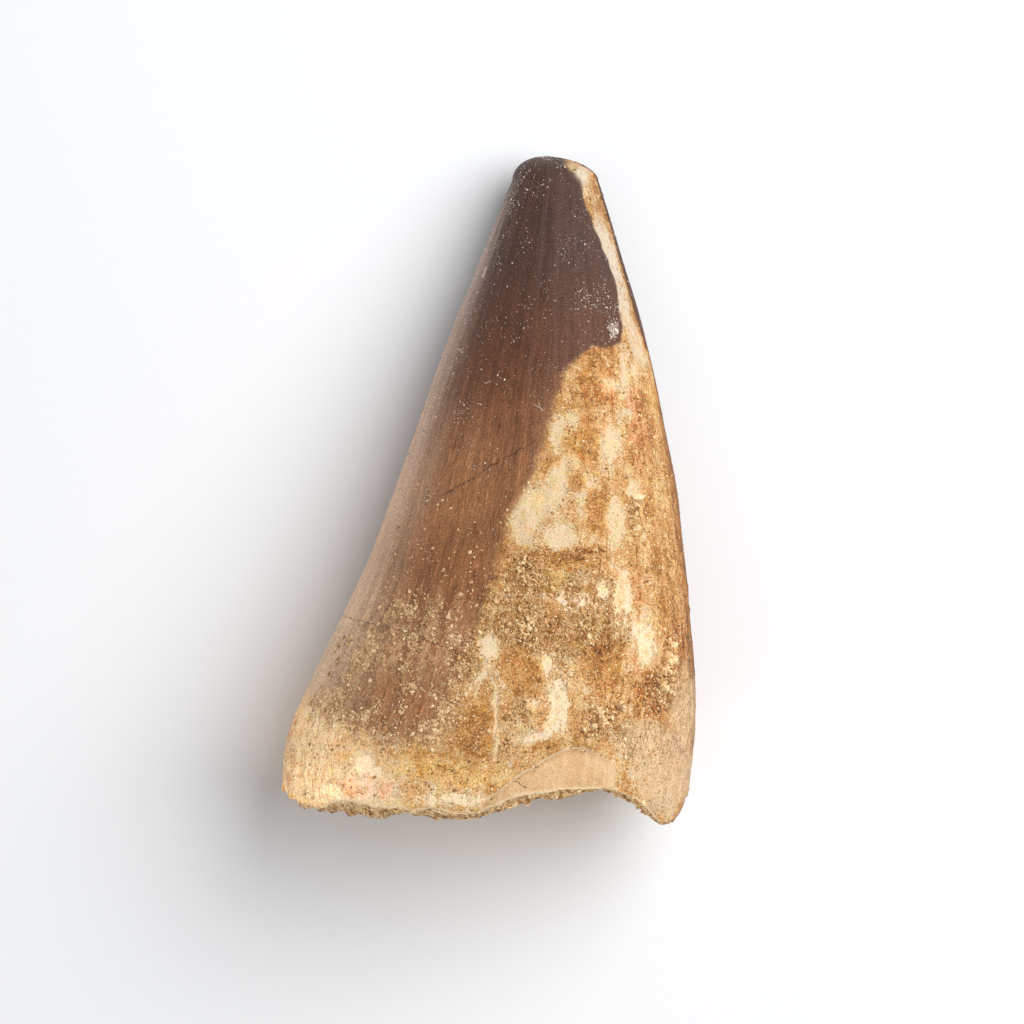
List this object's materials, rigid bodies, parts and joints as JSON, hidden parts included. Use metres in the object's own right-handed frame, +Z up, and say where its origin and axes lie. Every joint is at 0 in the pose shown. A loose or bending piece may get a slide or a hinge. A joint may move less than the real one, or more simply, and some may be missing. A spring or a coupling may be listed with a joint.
{
  "type": "fossil mosasaur tooth",
  "caption": "Worn conical crown of a fossil marine reptile's tooth, broken off at the root, lying on its flatter face",
  "frame": {"origin": "on the surface that the tooth lies on, below the centre of its bounding box", "axes": "+Y from the broken base towards the tip, +Z up through the rounded face, +X to the right seen from above with the tip away from the viewer"},
  "size_m": [0.0308, 0.05, 0.0216],
  "materials": {
    "enamel": "worn brown enamel with a silky gloss and fine lengthwise striae, dusted with pale grit",
    "dentine": "ivory to ochre dentine with matt sandy crust, orange and rust stains and smooth bare patches",
    "grit": "phosphate sand grains, from ivory to dark brown, stuck to the surface"
  },
  "bodies": {
    "root": {"tooth": "enamel"}
  },
  "joints": []
}
